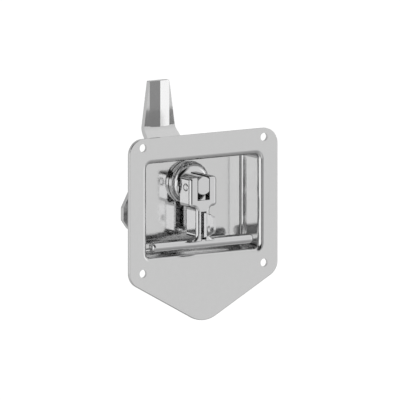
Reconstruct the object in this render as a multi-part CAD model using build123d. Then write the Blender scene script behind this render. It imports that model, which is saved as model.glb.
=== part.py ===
from build123d import *
import math
import os

# Frame, in mm: X to the right of a person facing the door, Y into the door,
# Z up. The origin is the middle of the four flange holes, on the rear face of
# the flange, where the part is fastened.

# Flange
sheet = 2.5
flange_half_width = 65.0
flange_top = 54.0
shoulder_z = -53.4
apex_z = -89.4
flange_corner_r = 12.0
apex_r = 22.0
hole_spacing_x = 106.0
hole_spacing_z = 94.5
hole_d = 6.2

# Recess, pressed into the flange
recess_half_width = 49.0
recess_bottom = -35.8
recess_top = 34.5
recess_depth = 23.0
recess_wall = 2.2
recess_corner_r = 3.5
lip_r = 3.5
floor_r = 3.4

# Front face of the flange, as a Y value; depths below are counted from it
front = -sheet

# Clearance between pieces that touch or turn
play = 0.05

# Rotor axis, along Y
axis_z = 14.7

# Rotor drum, with a well rounded edge and a trough for the head of the handle
drum_r = 16.5
drum_edge_r = 5.5
drum_t = 8.1
thrust_washer_room = 0.6
drum_back = recess_depth - thrust_washer_room
drum_front = drum_back - drum_t
trough_r = 10.45
trough_half_width = 12.6
tongue_slot_z = 1.0

# Bearing housing on the back of the recess
housing_start = recess_depth + recess_wall
housing_length = 6.3
housing_flange_r = 18.5
housing_flange_t = 3.0
housing_hub_r = 12.0
seal_groove_r = 7.6
seal_groove_start = 1.6
seal_groove_width = 2.0
stop_pin_r = 2.0
stop_pin_reach = 15.2
stop_pin_clearance = 0.4

# Stop washer and cam sheet, clamped behind the housing
stop_t = 2.35
stop_r = 11.5
stop_reach = 17.5
stop_ear_half = 3.0
cam_t = 4.0
shaft_shoulder = housing_start + housing_length
cam_depth = shaft_shoulder + stop_t + 3 * play
cam_back = cam_depth + cam_t + play

# Washers and nut on the spindle's thread
washer_t = 1.6
washer_r = 6.5
lock_washer_t = 1.8
lock_washer_r = 6.6
lock_washer_slit = 1.2
lock_start = cam_back + washer_t + play
nut_start = lock_start + lock_washer_t + play
nut_t = 6.8
nut_across_flats = 13.0

# Spindle
nose_r = 6.9
nose_flat = 4.8
nose_front = 0.0
nose_seat = 2.3
nose_back = drum_front + nose_seat
shaft_r = 6.0
bore_gap = 0.05
square_half = 4.2
square_corner_r = 5.7
square_end = cam_depth + cam_t - 2 * play
thread_r = 4.0
thread_reach = 0.65
spindle_end = nut_start + nut_t + thread_reach

# Handle pivot, along X
pivot_z = 13.8
pivot_depth = 6.0
pivot_r = 2.0
pivot_head_r = 3.0
pivot_head_t = 0.7
spacer_r = 3.6

# Handle stem, a bent-up stamping that is open at the back
stem_t = 1.8
stem_depth = 14.0
head_half_width = 12.0
head_top = 21.4
head_low = -1.2
head_corner_r = 2.6
head_rear_r = 2.0
waist_half_width = 6.0
waist_corner_r = 3.0
foot_half_width = 10.4
foot_z = -25.6
foot_corner_r = 4.3
stem_end = -26.6
stem_edge_r = 2.3
notch_half_width = 5.4
notch_z = 3.8
slot_half_width = 2.4
slot_z = -4.6

# Cross bar of the handle
bar_r = 4.0
bar_half_length = 44.2
bar_depth = 4.0
bar_z = -28.7
bar_end_r = 2.5

# Padlock staple, a plate that the rotor carries through the handle slot
staple_half_t = 1.0
staple_top = -5.3
staple_slope_depth = -5.0
staple_tip_top = -7.1
staple_low = -23.5
staple_front = -15.5
staple_reach = 38.2
tongue_width = 4.6
staple_tongue_depth = drum_back - tongue_width
staple_tip_r = 2.0
staple_low_r = 3.0
padlock_depth = -9.5
padlock_z = -16.5
padlock_r = 2.6

# Cam: a flat hub, a slope, a finger with a ridge, and a lug at each side
cam_offset = 28.0
cam_rise_depth = cam_depth + cam_offset
cam_bend_z = 24.2
cam_rise_z = 50.5
cam_top = 86.0
cam_high_bend_r = 5.0
cam_low_bend_r = 3.0
cam_top_half = 8.65
cam_rise_half = 13.6
cam_hub_half = 16.8
cam_hub_z = 22.0
cam_low = -10.0
ridge_half = 8.6
ridge_height = 1.1
ridge_low = 51.6
lug_tip = 49.0
lug_top_z = -2.6
lug_side_z = -12.0
lug_shoulder_x = 42.0
lug_shoulder_z = 10.4
lug_root_x = 30.0
lug_root_z = 15.5
lug_corner_x = 43.2
lug_low_z = -19.8
lug_low_root_z = -15.8
web_x = 18.0
cam_top_corner_r = 0.5
cam_hub_corner_r = 6.0
lug_shoulder_r = 3.0
lug_tip_r = 2.0
rod_hole_r = 4.0
rod_x = 38.5
rod_z = -5.0


def y(depth):
    """The Y value of a depth behind the front face of the flange."""
    return depth + front


def along_y(x, z, start, end, radius):
    """A round bar along Y between two depths."""
    place = Location((x, (y(start) + y(end)) / 2, z), (90, 0, 0))
    return place * Cylinder(radius, end - start)


def along_x(start, end, depth, z, radius):
    """A round bar along X."""
    place = Location(((start + end) / 2, y(depth), z), (0, 90, 0))
    return place * Cylinder(radius, end - start)


def block(x0, x1, d0, d1, z0, z1):
    """A box between X, depth and Z limits."""
    middle = ((x0 + x1) / 2, y((d0 + d1) / 2), (z0 + z1) / 2)
    return Pos(*middle) * Box(x1 - x0, d1 - d0, z1 - z0)


def plate(face, start, end):
    """A face drawn in X and Z, made into a plate between two depths."""
    placed = Plane((0, y(start), 0), x_dir=(1, 0, 0), z_dir=(0, -1, 0)) * face
    return extrude(placed, amount=end - start, dir=(0, 1, 0))


def rounded_face(points, radii):
    """A polygon with each corner rounded by its own radius."""
    face = make_face(Polyline(*points, close=True))
    for point, radius in zip(points, radii):
        if radius > 0:
            corner = face.vertices().sort_by_distance((point[0], point[1], 0))[0]
            face = fillet(corner, radius)
    return face if isinstance(face, Face) else face.face()


def side_plate(points, x0, x1):
    """A polygon drawn in depth and Z, made into a plate between two X values."""
    face = make_face(Polyline(*[(x0, y(d), z) for d, z in points], close=True))
    return extrude(face, amount=x1 - x0, dir=(1, 0, 0))


def make_pan():
    outline = rounded_face(
        [
            (-flange_half_width, flange_top),
            (-flange_half_width, shoulder_z),
            (0, apex_z),
            (flange_half_width, shoulder_z),
            (flange_half_width, flange_top),
        ],
        [flange_corner_r, flange_corner_r, apex_r, flange_corner_r, flange_corner_r],
    )
    flange = plate(outline, 0, sheet)
    flange = fillet(flange.faces().sort_by(Axis.Y)[0].edges(), 0.5)
    holes = [
        along_y(sx * hole_spacing_x / 2, sz * hole_spacing_z / 2, -1, sheet + 1, hole_d / 2)
        for sx in (-1, 1)
        for sz in (-1, 1)
    ]
    middle_z = (recess_top + recess_bottom) / 2
    width = 2 * recess_half_width
    height = recess_top - recess_bottom
    wall = recess_wall
    outer = RectangleRounded(width + 2 * wall, height + 2 * wall, recess_corner_r + wall)
    inner = RectangleRounded(width, height, recess_corner_r)
    shell = plate(Pos(0, middle_z) * outer, sheet / 2, recess_depth + wall)
    shell = fillet(shell.faces().sort_by(Axis.Y)[-1].edges(), floor_r + wall)
    body = flange + shell
    joint = body.faces().filter_by(Axis.Y).sort_by_distance((0, y(sheet), flange_top - 4))[0]
    body = fillet(joint.inner_wires().sort_by(SortBy.LENGTH)[-1].edges(), 1.2)
    hollow = plate(Pos(0, middle_z) * inner, 0, recess_depth)
    hollow = fillet(hollow.faces().sort_by(Axis.Y)[-1].edges(), floor_r)
    body = body - hollow
    mouth = body.faces().filter_by(Axis.Y).sort_by_distance((0, y(0), flange_top - 4))[0]
    body = fillet(mouth.inner_wires().sort_by(SortBy.LENGTH)[-1].edges(), lip_r)
    body = body - holes
    return body - along_y(0, axis_z, recess_depth - 1, recess_depth + wall + 1, shaft_r + 1.0)


def make_housing():
    start = housing_start
    disc = along_y(0, axis_z, start, start + housing_flange_t, housing_flange_r)
    hub = along_y(0, axis_z, start, shaft_shoulder, housing_hub_r)
    body = disc + hub
    bore = along_y(0, axis_z, start - 1, shaft_shoulder + 1, shaft_r + bore_gap)
    groove_start = start + seal_groove_start
    groove = along_y(0, axis_z, groove_start, groove_start + seal_groove_width, seal_groove_r)
    return body - bore - groove


def make_stop_pin(angle):
    start = housing_start + housing_flange_t
    end = cam_depth - stop_pin_clearance
    x = stop_pin_reach * math.sin(math.radians(angle))
    z = axis_z + stop_pin_reach * math.cos(math.radians(angle))
    return along_y(x, z, start, end, stop_pin_r)


def make_seal():
    start = housing_start + seal_groove_start
    end = start + seal_groove_width
    ring = along_y(0, axis_z, start + 2 * play, end - 2 * play, seal_groove_r - play)
    ring = ring - along_y(0, axis_z, start, end, shaft_r + bore_gap)
    return fillet(ring.edges(), 0.6)


def make_drum():
    drum = along_y(0, axis_z, drum_front, drum_back, drum_r)
    drum = fillet(drum.faces().sort_by(Axis.Y)[0].edges(), drum_edge_r)
    drum = drum - along_y(0, axis_z, drum_front - 1, drum_back + 1, shaft_r)
    drum = drum - along_y(0, axis_z, drum_front - 1, nose_back, nose_r + play)
    drum = drum - along_x(-trough_half_width, trough_half_width, pivot_depth, pivot_z, trough_r)
    slot_low = axis_z - drum_r - 1
    slot = block(-staple_half_t, staple_half_t, drum_front - 1, drum_back + 1, slot_low, tongue_slot_z)
    return drum - slot


def make_thrust_washer():
    washer = along_y(0, axis_z, drum_back + play, recess_depth - play, drum_r - 1.0)
    return washer - along_y(0, axis_z, drum_back, recess_depth, shaft_r + 3 * play)


def make_spindle():
    nose = along_y(0, axis_z, nose_front, nose_back, nose_r)
    nose = fillet(nose.faces().sort_by(Axis.Y)[0].edges(), 0.6)
    tall = nose_r + 1
    flats = block(-nose_flat, nose_flat, nose_front - 1, nose_back, axis_z - tall, axis_z + tall)
    nose = nose & flats
    shaft = along_y(0, axis_z, nose_back, shaft_shoulder, shaft_r)
    square = block(
        -square_half, square_half, shaft_shoulder, square_end, axis_z - square_half, axis_z + square_half
    )
    square = square & along_y(0, axis_z, shaft_shoulder, square_end, square_corner_r)
    thread = along_y(0, axis_z, square_end, spindle_end, thread_r)
    thread = chamfer(thread.faces().sort_by(Axis.Y)[-1].edges(), 0.8)
    body = nose + shaft + square + thread
    return body - along_x(-nose_r - 1, nose_r + 1, pivot_depth, pivot_z, pivot_r + bore_gap)


def make_staple():
    back = drum_back - 0.2
    blank = side_plate(
        [
            (staple_slope_depth, staple_top),
            (staple_front, staple_tip_top),
            (staple_front, staple_low),
            (back, staple_low),
            (back, tongue_slot_z),
            (staple_tongue_depth, tongue_slot_z),
            (staple_tongue_depth, staple_top),
        ],
        -staple_half_t,
        staple_half_t,
    )
    reach = along_x(-3 * staple_half_t, 3 * staple_half_t, pivot_depth, pivot_z, staple_reach)
    blank = blank & reach
    corners = blank.edges().filter_by(Axis.X)
    tip_top = corners.sort_by_distance((0, y(staple_front), staple_tip_top))[0]
    blank = fillet(tip_top, staple_tip_r)
    corners = blank.edges().filter_by(Axis.X)
    tip_low = corners.sort_by_distance((0, y(staple_front), staple_low + staple_low_r))[0]
    rear_low = corners.sort_by_distance((0, y(back), staple_low))[0]
    blank = fillet([tip_low, rear_low], staple_low_r)
    return blank - along_x(-3 * staple_half_t, 3 * staple_half_t, padlock_depth, padlock_z, padlock_r)


def stem_outline(inset):
    """Head, narrow waist and flared foot, with the outline moved in by the inset."""
    head = head_half_width - inset
    waist = waist_half_width - inset
    foot = foot_half_width + foot_corner_r
    right = [
        (head, head_top - inset),
        (head, head_low + inset),
        (waist, head_low + inset),
        (waist, foot_z + inset),
        (foot, foot_z + inset),
        (foot, foot_z - 2 * bar_r),
    ]
    left = [(-x, z) for x, z in reversed(right)]
    radii = [
        max(head_corner_r - inset, 0.6),
        max(waist_corner_r - 0.1 - inset, 0.6),
        waist_corner_r - 0.1,
        foot_corner_r,
        0,
        0,
    ]
    return rounded_face(right + left, radii + radii[::-1])


def make_stem():
    shell = plate(stem_outline(0), 0, stem_depth)
    shell = fillet(shell.faces().sort_by(Axis.Y)[0].edges(), stem_edge_r)
    hollow = plate(stem_outline(stem_t), stem_t, stem_depth + 1)
    shell = shell - hollow
    wide = head_half_width + 3
    low = foot_z - 2 * bar_r
    cuts = [
        block(-notch_half_width, notch_half_width, -1, stem_depth + 1, notch_z, head_top + 1),
        block(-slot_half_width, slot_half_width, -1, 2 * stem_t, low, slot_z),
        block(-2 * wide, 2 * wide, -1, stem_depth + 1, 2 * low, stem_end),
        along_x(-wide, wide, bar_depth, bar_z, bar_r + 0.02),
        along_x(-wide, wide, pivot_depth, pivot_z, pivot_r + 0.02),
    ]
    for side in (-1, 1):
        x0, x1 = sorted((side * foot_half_width, side * 2 * wide))
        cuts.append(block(x0, x1, -1, stem_depth + 1, 2 * low, foot_z + foot_corner_r + 1))
    for cut in cuts:
        shell = shell - cut
    corner_depth = stem_depth - head_rear_r
    corner_z = head_top - head_rear_r
    corner = block(-wide, wide, corner_depth, stem_depth + 1, corner_z, head_top + 1)
    corner = corner - along_x(-wide - 1, wide + 1, corner_depth, corner_z, head_rear_r)
    return shell - corner


def make_bar():
    bar = along_x(-bar_half_length, bar_half_length, bar_depth, bar_z, bar_r)
    return fillet(bar.edges().filter_by(GeomType.CIRCLE), bar_end_r)


def make_pin():
    """A revolved pin with a low head at each side, dished where the shank is upset."""
    end = head_half_width + pivot_head_t
    half = [
        (head_half_width, pivot_r),
        (head_half_width, pivot_head_r),
        (end - 0.45, pivot_head_r),
        (end - 0.1, pivot_head_r - 0.3),
        (end, pivot_head_r - 0.8),
        (end - 0.3, pivot_head_r - 1.3),
    ]
    middle = [(end - 0.3, 0), (-end + 0.3, 0)]
    other = [(-x, r) for x, r in half]
    profile = make_face(Polyline(*half, *middle, *other[::-1], close=True))
    return Pos(0, y(pivot_depth), pivot_z) * revolve(profile, Axis.X)


def make_pivot_spacer(side):
    near = nose_flat + play
    far = head_half_width - stem_t - play
    start, end = (near, far) if side > 0 else (-far, -near)
    ring = along_x(start, end, pivot_depth, pivot_z, spacer_r)
    return ring - along_x(start - 1, end + 1, pivot_depth, pivot_z, pivot_r + 0.02)


def square_hole(start, end):
    """The square of the spindle with its play, as a cutter."""
    half = square_half + play
    hole = block(-half, half, start, end, axis_z - half, axis_z + half)
    return hole & along_y(0, axis_z, start, end, square_corner_r + play)


def make_stop_washer():
    start = shaft_shoulder + play
    end = start + stop_t
    disc = along_y(0, axis_z, start, end, stop_r)
    ear = block(-stop_ear_half, stop_ear_half, start, end, axis_z + stop_r / 2, axis_z + stop_reach)
    return disc + ear - square_hole(start - 1, end + 1)


def cam_outline():
    """The cam seen from the front: finger at the top, a lug at each side."""
    right = [
        (cam_top_half, cam_top),
        (cam_rise_half, cam_rise_z),
        (cam_hub_half, cam_hub_z),
        (lug_root_x, lug_root_z),
        (lug_shoulder_x, lug_shoulder_z),
        (lug_tip, lug_top_z),
        (lug_tip, lug_side_z),
        (lug_corner_x, lug_low_z),
        (lug_root_x, lug_low_root_z),
        (web_x, cam_low),
    ]
    left = [(-x, z) for x, z in reversed(right)]
    radii = [
        cam_top_corner_r,
        0,
        cam_hub_corner_r,
        0,
        lug_shoulder_r,
        lug_tip_r,
        lug_tip_r,
        lug_shoulder_r,
        0,
        0,
    ]
    return rounded_face(right + left, radii + radii[::-1])


def cam_strip():
    """The bent sheet from the side: hub, slope and finger, wider than the cam."""
    slope = math.atan2(cam_rise_depth - cam_depth, cam_rise_z - cam_bend_z)
    back_shift = cam_t * math.tan(slope / 2)
    low_bend = (cam_depth, cam_bend_z)
    low_bend_back = (cam_depth + cam_t, cam_bend_z - back_shift)
    high_bend = (cam_rise_depth, cam_rise_z)
    high_bend_back = (cam_rise_depth + cam_t, cam_rise_z - back_shift)
    strip = side_plate(
        [
            (cam_depth, 2 * lug_low_z),
            low_bend,
            high_bend,
            (cam_rise_depth, cam_top),
            (cam_rise_depth + cam_t, cam_top),
            high_bend_back,
            low_bend_back,
            (cam_depth + cam_t, 2 * lug_low_z),
        ],
        -lug_tip - 1,
        lug_tip + 1,
    )
    bends = [
        (low_bend, cam_low_bend_r + cam_t),
        (low_bend_back, cam_low_bend_r),
        (high_bend, cam_high_bend_r),
        (high_bend_back, cam_high_bend_r + cam_t),
    ]
    for (depth, z), radius in bends:
        edge = strip.edges().filter_by(Axis.X).sort_by_distance((0, y(depth), z))[0]
        strip = fillet(edge, radius)
    return strip


def make_cam():
    tall = plate(cam_outline(), cam_depth - 2, cam_rise_depth + cam_t + 2)
    body = cam_strip() & tall
    crest = make_face(
        Polyline(
            (-ridge_half, y(cam_rise_depth), ridge_low),
            (0, y(cam_rise_depth - ridge_height), ridge_low),
            (ridge_half, y(cam_rise_depth), ridge_low),
            (ridge_half, y(cam_rise_depth + 1), ridge_low),
            (-ridge_half, y(cam_rise_depth + 1), ridge_low),
            close=True,
        )
    )
    body = body + extrude(crest, amount=cam_top - ridge_low, dir=(0, 0, 1))
    for side in (-1, 1):
        body = body - along_y(side * rod_x, rod_z, cam_depth - 1, cam_depth + cam_t + 1, rod_hole_r)
    return body - square_hole(cam_depth - 1, cam_depth + cam_t + 1)


def make_ring(start, thickness, outer_r, inner_r):
    ring = along_y(0, axis_z, start, start + thickness, outer_r)
    return ring - along_y(0, axis_z, start - 1, start + thickness + 1, inner_r)


def make_lock_washer(start):
    """A spring washer: a ring with one slit."""
    ring = make_ring(start, lock_washer_t, lock_washer_r, thread_r + 2 * play)
    half = lock_washer_slit / 2
    return ring - block(-half, half, start - 1, start + lock_washer_t + 1, axis_z, axis_z + 2 * lock_washer_r)


def make_nut(start):
    face = RegularPolygon(nut_across_flats / 2, 6, major_radius=False)
    nut = plate(Pos(0, axis_z) * face, start, start + nut_t)
    turned = along_y(0, axis_z, start, start + nut_t, 0.57 * nut_across_flats)
    nut = nut & chamfer(turned.edges().filter_by(GeomType.CIRCLE), 0.6)
    return nut - along_y(0, axis_z, start - 1, start + nut_t + 1, thread_r + 0.02)


nodes = {
    "pan": make_pan(),
    "bearing_housing": make_housing(),
    "stop_pin_left": make_stop_pin(-20.0),
    "stop_pin_right": make_stop_pin(110.0),
    "shaft_seal": make_seal(),
    "rotor_drum": make_drum(),
    "thrust_washer": make_thrust_washer(),
    "spindle": make_spindle(),
    "padlock_staple": make_staple(),
    "stop_washer": make_stop_washer(),
    "cam": make_cam(),
    "cam_washer": make_ring(cam_back, washer_t, washer_r, thread_r + 4 * play),
    "lock_washer": make_lock_washer(lock_start),
    "cam_nut": make_nut(nut_start),
    "handle_stem": make_stem(),
    "t_bar": make_bar(),
    "pivot_pin": make_pin(),
    "pivot_spacer_left": make_pivot_spacer(-1),
    "pivot_spacer_right": make_pivot_spacer(1),
}

os.makedirs("parts", exist_ok=True)
for name, shape in nodes.items():
    solids = shape.solids()
    part = solids[0] if len(solids) == 1 else Compound(children=list(solids))
    part.label = name
    export_step(part, f"parts/{name}.step")
    print(name, len(solids), round(sum(s.volume for s in solids), 1), part.is_valid)
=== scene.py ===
import math

import bpy
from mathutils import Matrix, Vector

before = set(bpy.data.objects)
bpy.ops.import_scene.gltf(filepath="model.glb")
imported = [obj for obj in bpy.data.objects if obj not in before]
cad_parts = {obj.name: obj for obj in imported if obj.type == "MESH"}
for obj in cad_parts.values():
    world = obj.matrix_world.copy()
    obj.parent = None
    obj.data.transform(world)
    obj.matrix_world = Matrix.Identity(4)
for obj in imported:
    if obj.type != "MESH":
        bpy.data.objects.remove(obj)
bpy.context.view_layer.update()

# The photograph's view: parallel, from the left and a little above.
AZIMUTH = math.radians(-32.0)
ELEVATION = math.radians(8.61)
IMAGE_WIDTH = 400
PIXELS_PER_METRE = 1345.0
AIM_RIGHT = -0.00275
AIM_UP = 0.00405
FRONT_Y = -0.0025
CAMERA_DISTANCE = 1.2
CAMERA_REACH = 20

# Where the stem is hollow, which bounds its painted shade, and where the spindle is threaded, in
# metres.
STEM_INNER_FACE = -0.0008
STEM_WAIST_INNER = 0.0045
STEM_HEAD_INNER = 0.0104
STEM_HEAD_LOW = -0.0005
AXIS_Z = 0.0147
THREAD_START = 0.0356
THREAD_END = 0.0458
THREAD_PITCH = 0.00125
THREAD_RELIEF = 0.0003

# Steel: colour, roughness and, on satin pieces, the relief of the grain.
CUP_COLOR = (0.78, 0.78, 0.78)
CUP_ROUGHNESS = 0.12
MIRROR_COLOR = (0.79, 0.79, 0.795)
MIRROR_ROUGHNESS = 0.04
SATIN_COLOR = (0.62, 0.62, 0.625)
SATIN_ROUGHNESS = 0.25
SATIN_GRAIN = 0.3
GRAIN_RELIEF = 0.00002
# Painted shade: a dark colour and a duller roughness for the inside of the hollow stem, where shade
# falls.
STEM_INSIDE_SHADE_COLOR = (0.28, 0.28, 0.28)
STEM_INSIDE_ROUGHNESS = 0.3
EVEN_SCALE = (300, 300, 300)
GRAIN_SCALE = (900, 900, 200)

# The floor, well below the part.
FLOOR_SIZE = 6
FLOOR_Z = -0.13
FLOOR_LEVEL = 0.8
FLOOR_LIFT = 0.68

# The studio: pairs of azimuth and level. Azimuth 0 is straight in front of the
# flange and + is to the right. Between two pairs the level changes evenly.
HORIZON = [
    (-180, 0.56), (-140, 0.63), (-112, 0.74), (-104, 0.95), (-78, 0.95), (-72, 1.1),
    (-46, 1.1), (-40, 0.5), (-36, 1.1), (-29, 1.1), (-26, 0.01), (-8, 0.01), (-4, 0.5),
    (8, 0.5), (12, 0.31), (24, 0.31), (27, 0.74), (38, 0.74), (42, 1.2), (52, 1.2),
    (57, 0.74), (63, 0.11), (79, 0.11), (84, 0.82), (117, 0.82), (122, 1.1), (139, 1.1),
    (145, 0.3), (163, 0.3), (180, 0.56),
]
UPPER = [
    (-180, 0.52), (-114, 0.45), (-104, 0.92), (-78, 0.92), (-50, 0.98), (-42, 0.22),
    (-30, 0.01), (14, 0.01), (27, 0.71), (110, 0.74), (140, 0.56), (180, 0.52),
]
HIGH = [
    (-180, 0.45), (-130, 0.37), (-105, 0.11), (-40, 0.074), (12, 0.074), (28, 0.71),
    (75, 0.78), (130, 0.78), (150, 0.52), (180, 0.45),
]
LOWER = [
    (-180, 0.6), (-125, 0.5), (-110, 0.45), (-100, 0.95), (-50, 0.95), (-40, 0.5),
    (-28, 0.45), (-16, 0.65), (8, 0.63), (20, 0.5), (75, 0.43), (110, 0.55), (180, 0.6),
]
DEEP = [
    (-180, 0.5), (-112, 0.4), (-100, 0.6), (-48, 0.6), (-40, 0.2), (-28, 0.2),
    (-16, 0.5), (8, 0.45), (20, 0.35), (75, 0.32), (110, 0.4), (180, 0.5),
]
ZENITH = 0.55
NADIR = 0.3
BRIGHTEST = 3.0

# Each of these takes over from the ones before it between two heights, in degrees.
LAYERS = [
    (UPPER, 3, 10),
    (LOWER, -11, -14),
    (DEEP, -26, -36),
    (HIGH, 26, 34),
    (ZENITH, 60, 72),
    (NADIR, -50, -70),
]


def new_material(name):
    material = bpy.data.materials.new(name)
    material.use_nodes = True
    nodes = material.node_tree.nodes
    return material, nodes, material.node_tree.links, nodes["Principled BSDF"]


def math_node(nodes, links, operation, *values):
    node = nodes.new("ShaderNodeMath")
    node.operation = operation
    for spot, value in zip(node.inputs, values):
        if isinstance(value, (int, float)):
            spot.default_value = value
        else:
            links.new(value, spot)
    return node.outputs[0]


def between(nodes, links, value, low, high):
    """1 where the value lies between two limits, 0 elsewhere."""
    above = math_node(nodes, links, "GREATER_THAN", value, low)
    below = math_node(nodes, links, "LESS_THAN", value, high)
    return math_node(nodes, links, "MULTIPLY", above, below)


def place_on_part(nodes, links):
    """The point's X, Y and Z on the piece, in metres."""
    coords = nodes.new("ShaderNodeTexCoord")
    split = nodes.new("ShaderNodeSeparateXYZ")
    links.new(coords.outputs["Object"], split.inputs["Vector"])
    return split.outputs["X"], split.outputs["Y"], split.outputs["Z"]


def raise_surface(nodes, links, height, strength, distance):
    bump = nodes.new("ShaderNodeBump")
    bump.inputs["Strength"].default_value = strength
    bump.inputs["Distance"].default_value = distance
    links.new(height, bump.inputs["Height"])
    links.new(bump.outputs["Normal"], nodes["Principled BSDF"].inputs["Normal"])


def two_tones(nodes, links, noise, first, second):
    tone = nodes.new("ShaderNodeValToRGB")
    low, high = tone.color_ramp.elements
    low.color = list(first) + [1]
    high.color = list(second) + [1]
    links.new(noise.outputs["Fac"], tone.inputs["Fac"])
    links.new(tone.outputs["Color"], nodes["Principled BSDF"].inputs["Base Color"])
    return low, high


def steel(name, color, roughness, grain=0.0, scale=EVEN_SCALE):
    """Polished or satin steel whose sheen is slightly uneven."""
    material, nodes, links, shader = new_material(name)
    shader.inputs["Metallic"].default_value = 1.0
    coords = nodes.new("ShaderNodeTexCoord")
    place = nodes.new("ShaderNodeMapping")
    place.inputs["Scale"].default_value = scale
    links.new(coords.outputs["Object"], place.inputs["Vector"])
    noise = nodes.new("ShaderNodeTexNoise")
    noise.inputs["Scale"].default_value = 1.0
    noise.inputs["Detail"].default_value = 4.0
    links.new(place.outputs["Vector"], noise.inputs["Vector"])
    low, high = two_tones(nodes, links, noise, [c * 0.98 for c in color], color)
    low.position = 0.3
    high.position = 0.7
    rough = nodes.new("ShaderNodeMapRange")
    rough.inputs["To Min"].default_value = roughness * 0.85
    rough.inputs["To Max"].default_value = roughness * 1.15
    links.new(noise.outputs["Fac"], rough.inputs["Value"])
    links.new(rough.outputs["Result"], shader.inputs["Roughness"])
    if grain > 0:
        raise_surface(nodes, links, noise.outputs["Fac"], grain, GRAIN_RELIEF)
    return material


def soft(name, dark, light, roughness, scale):
    """Moulded rubber or plastic with a fine uneven skin."""
    material, nodes, links, shader = new_material(name)
    coords = nodes.new("ShaderNodeTexCoord")
    noise = nodes.new("ShaderNodeTexNoise")
    noise.inputs["Scale"].default_value = scale
    links.new(coords.outputs["Object"], noise.inputs["Vector"])
    two_tones(nodes, links, noise, dark, light)
    shader.inputs["Roughness"].default_value = roughness
    return material


def mixed(nodes, links, kind, share, first, second):
    """The first value where the share is 0, the second where it is 1."""
    mix = nodes.new("ShaderNodeMix")
    mix.data_type = kind
    links.new(share, mix.inputs["Factor"])
    spots = [spot for spot in mix.inputs if spot.enabled and spot.name in ("A", "B")]
    for spot, value in zip(spots, (first, second)):
        if isinstance(value, bpy.types.NodeSocket):
            links.new(value, spot)
        else:
            spot.default_value = value
    return next(spot for spot in mix.outputs if spot.enabled)


def paint_stem_inside_shade(material):
    """Painted shade: the inside of the bent-up stem is coloured dark and made duller, standing in
    for the shade in the hollow.
    """
    nodes = material.node_tree.nodes
    links = material.node_tree.links
    shader = nodes["Principled BSDF"]
    x, y, z = place_on_part(nodes, links)
    side = math_node(nodes, links, "ABSOLUTE", x)
    head = math_node(nodes, links, "GREATER_THAN", z, STEM_HEAD_LOW)
    room = STEM_HEAD_INNER - STEM_WAIST_INNER
    limit = math_node(nodes, links, "MULTIPLY_ADD", head, room, STEM_WAIST_INNER)
    narrow = math_node(nodes, links, "LESS_THAN", side, limit)
    behind = math_node(nodes, links, "GREATER_THAN", y, STEM_INNER_FACE)
    inside = math_node(nodes, links, "MULTIPLY", narrow, behind)
    # Painted shade: these replace the steel's colour and roughness inside the stem.
    shaded_inside = [
        ("Base Color", "RGBA", list(STEM_INSIDE_SHADE_COLOR) + [1]),
        ("Roughness", "FLOAT", STEM_INSIDE_ROUGHNESS),
    ]
    for name, kind, value in shaded_inside:
        outside = shader.inputs[name].links[0].from_socket
        both = mixed(nodes, links, kind, inside, outside, value)
        links.new(both, shader.inputs[name])


def cut_thread(material):
    """A fine thread on the rear end of the spindle."""
    nodes = material.node_tree.nodes
    links = material.node_tree.links
    x, y, z = place_on_part(nodes, links)
    rise = math_node(nodes, links, "SUBTRACT", z, AXIS_Z)
    angle = math_node(nodes, links, "ARCTAN2", rise, x)
    turns = 2 * math.pi / THREAD_PITCH
    wave = math_node(nodes, links, "SINE", math_node(nodes, links, "MULTIPLY_ADD", y, turns, angle))
    threaded = between(nodes, links, y, THREAD_START, THREAD_END)
    height = math_node(nodes, links, "MULTIPLY", wave, threaded)
    raise_surface(nodes, links, height, 1.0, THREAD_RELIEF)


def ring(nodes, links, fraction, stops):
    """A ramp of levels round the part, from azimuth -180 to 180."""
    ramp = nodes.new("ShaderNodeValToRGB")
    elements = ramp.color_ramp.elements
    for azimuth, level in stops[1:-1]:
        elements.new((azimuth + 180) / 360)
    for element, (azimuth, level) in zip(elements, stops):
        element.position = (azimuth + 180) / 360
        element.color = grey(level)
    links.new(fraction, ramp.inputs["Fac"])
    return ramp.outputs["Color"]


def grey(level):
    return [level / BRIGHTEST] * 3 + [1]


def step_up(nodes, links, value, low, high):
    """0 at the low angle, 1 at the high one and beyond, in degrees."""
    ease = nodes.new("ShaderNodeMapRange")
    ease.interpolation_type = "SMOOTHSTEP"
    ease.inputs["From Min"].default_value = math.radians(low)
    ease.inputs["From Max"].default_value = math.radians(high)
    links.new(value, ease.inputs["Value"])
    return ease.outputs["Result"]


def background(nodes, color, strength):
    shader = nodes.new("ShaderNodeBackground")
    shader.inputs["Color"].default_value = color
    shader.inputs["Strength"].default_value = strength
    return shader


def switched(nodes, links, ray, usual, other):
    """The usual shader, and another one for one kind of ray."""
    paths = nodes.new("ShaderNodeLightPath")
    seen = nodes.new("ShaderNodeMixShader")
    links.new(paths.outputs[ray], seen.inputs["Fac"])
    links.new(usual, seen.inputs[1])
    links.new(other, seen.inputs[2])
    return seen.outputs["Shader"]


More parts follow.
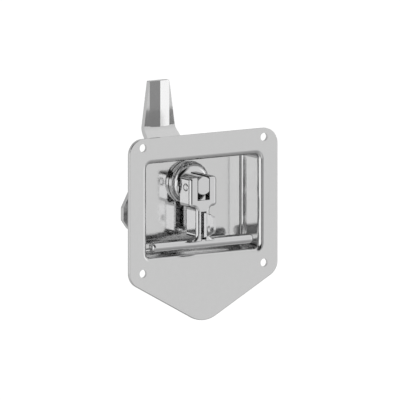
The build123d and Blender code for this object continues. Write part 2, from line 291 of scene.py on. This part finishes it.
def build_studio():
    """The studio lights the part and shows in the steel; the camera sees white."""
    world = bpy.data.worlds.new("studio")
    bpy.context.scene.world = world
    world.use_nodes = True
    nodes = world.node_tree.nodes
    links = world.node_tree.links
    nodes.clear()
    coords = nodes.new("ShaderNodeTexCoord")
    split = nodes.new("ShaderNodeSeparateXYZ")
    links.new(coords.outputs["Generated"], split.inputs["Vector"])
    toward = math_node(nodes, links, "MULTIPLY", split.outputs["Y"], -1.0)
    angle = math_node(nodes, links, "ARCTAN2", split.outputs["X"], toward)
    turn = math_node(nodes, links, "MULTIPLY_ADD", angle, 0.5 / math.pi, 0.5)
    height = math_node(nodes, links, "ARCSINE", split.outputs["Z"])
    level = ring(nodes, links, turn, HORIZON)
    for layer, starts, ends in LAYERS:
        share = step_up(nodes, links, height, starts, ends)
        flat = isinstance(layer, float)
        value = grey(layer) if flat else ring(nodes, links, turn, layer)
        level = mixed(nodes, links, "RGBA", share, level, value)
    studio = background(nodes, (1, 1, 1, 1), BRIGHTEST)
    links.new(level, studio.inputs["Color"])
    white = background(nodes, (1, 1, 1, 1), 1.0)
    shown = switched(nodes, links, "Is Camera Ray", studio.outputs[0], white.outputs[0])
    output = nodes.new("ShaderNodeOutputWorld")
    links.new(shown, output.inputs["Surface"])


def build_floor():
    """A pale floor that lifts to white where no shadow falls. Metal sees through it."""
    bpy.ops.mesh.primitive_plane_add(size=FLOOR_SIZE, location=(0, 0, FLOOR_Z))
    floor = bpy.context.object
    floor.name = "floor"
    paint, nodes, links, shader = new_material("floor_paint")
    shader.inputs["Base Color"].default_value = (FLOOR_LEVEL, FLOOR_LEVEL, FLOOR_LEVEL, 1)
    shader.inputs["Roughness"].default_value = 1.0
    shader.inputs["Specular IOR Level"].default_value = 0.0
    paths = nodes.new("ShaderNodeLightPath")
    lift = nodes.new("ShaderNodeEmission")
    seen = paths.outputs["Is Camera Ray"]
    links.new(math_node(nodes, links, "MULTIPLY", seen, FLOOR_LIFT), lift.inputs["Strength"])
    both = nodes.new("ShaderNodeAddShader")
    links.new(shader.outputs["BSDF"], both.inputs[0])
    links.new(lift.outputs["Emission"], both.inputs[1])
    clear = nodes.new("ShaderNodeBsdfTransparent")
    shown = switched(nodes, links, "Is Glossy Ray", both.outputs[0], clear.outputs[0])
    links.new(shown, nodes["Material Output"].inputs["Surface"])
    floor.data.materials.append(paint)


def build_camera():
    data = bpy.data.cameras.new("camera")
    camera = bpy.data.objects.new("camera", data)
    bpy.context.collection.objects.link(camera)
    right = Vector((math.cos(AZIMUTH), math.sin(AZIMUTH), 0))
    back = Vector((
        math.sin(AZIMUTH) * math.cos(ELEVATION),
        -math.cos(AZIMUTH) * math.cos(ELEVATION),
        math.sin(ELEVATION),
    ))
    up = back.cross(right)
    data.type = "ORTHO"
    data.ortho_scale = IMAGE_WIDTH / PIXELS_PER_METRE
    data.clip_end = CAMERA_REACH
    aim = Vector((0, FRONT_Y, 0)) + right * AIM_RIGHT + up * AIM_UP
    camera.location = aim + back * CAMERA_DISTANCE
    camera.rotation_euler = back.to_track_quat("Z", "Y").to_euler()
    bpy.context.scene.camera = camera


polished = steel("polished_steel", CUP_COLOR, CUP_ROUGHNESS)
mirror = steel("mirror_steel", MIRROR_COLOR, MIRROR_ROUGHNESS)
satin = steel("satin_steel", SATIN_COLOR, SATIN_ROUGHNESS, SATIN_GRAIN, GRAIN_SCALE)
stem_steel = steel("stem_steel", MIRROR_COLOR, MIRROR_ROUGHNESS)
# Paints shade on the inside of the hollow stem.
paint_stem_inside_shade(stem_steel)
spindle_steel = steel("spindle_steel", MIRROR_COLOR, MIRROR_ROUGHNESS)
cut_thread(spindle_steel)
nylon = soft("nylon", (0.6, 0.58, 0.52), (0.75, 0.73, 0.67), 0.45, 400)
rubber = soft("seal_rubber", (0.012, 0.012, 0.012), (0.03, 0.03, 0.03), 0.7, 600)

# Pieces that aren't named here are satin steel.
finishes = {
    "pan": polished,
    "cam": polished,
    "handle_stem": stem_steel,
    "spindle": spindle_steel,
    "t_bar": mirror,
    "pivot_pin": mirror,
    "pivot_spacer_left": mirror,
    "pivot_spacer_right": mirror,
    "rotor_drum": mirror,
    "padlock_staple": mirror,
    "thrust_washer": nylon,
    "shaft_seal": rubber,
}
for name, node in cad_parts.items():
    finish = finishes.get(name, satin)
    if not node.material_slots:
        node.data.materials.append(None)
    for spot in node.material_slots:
        spot.material = finish

build_studio()
build_floor()
build_camera()
bpy.context.scene.view_settings.view_transform = "Standard"
bpy.context.scene.cycles.glossy_bounces = 12
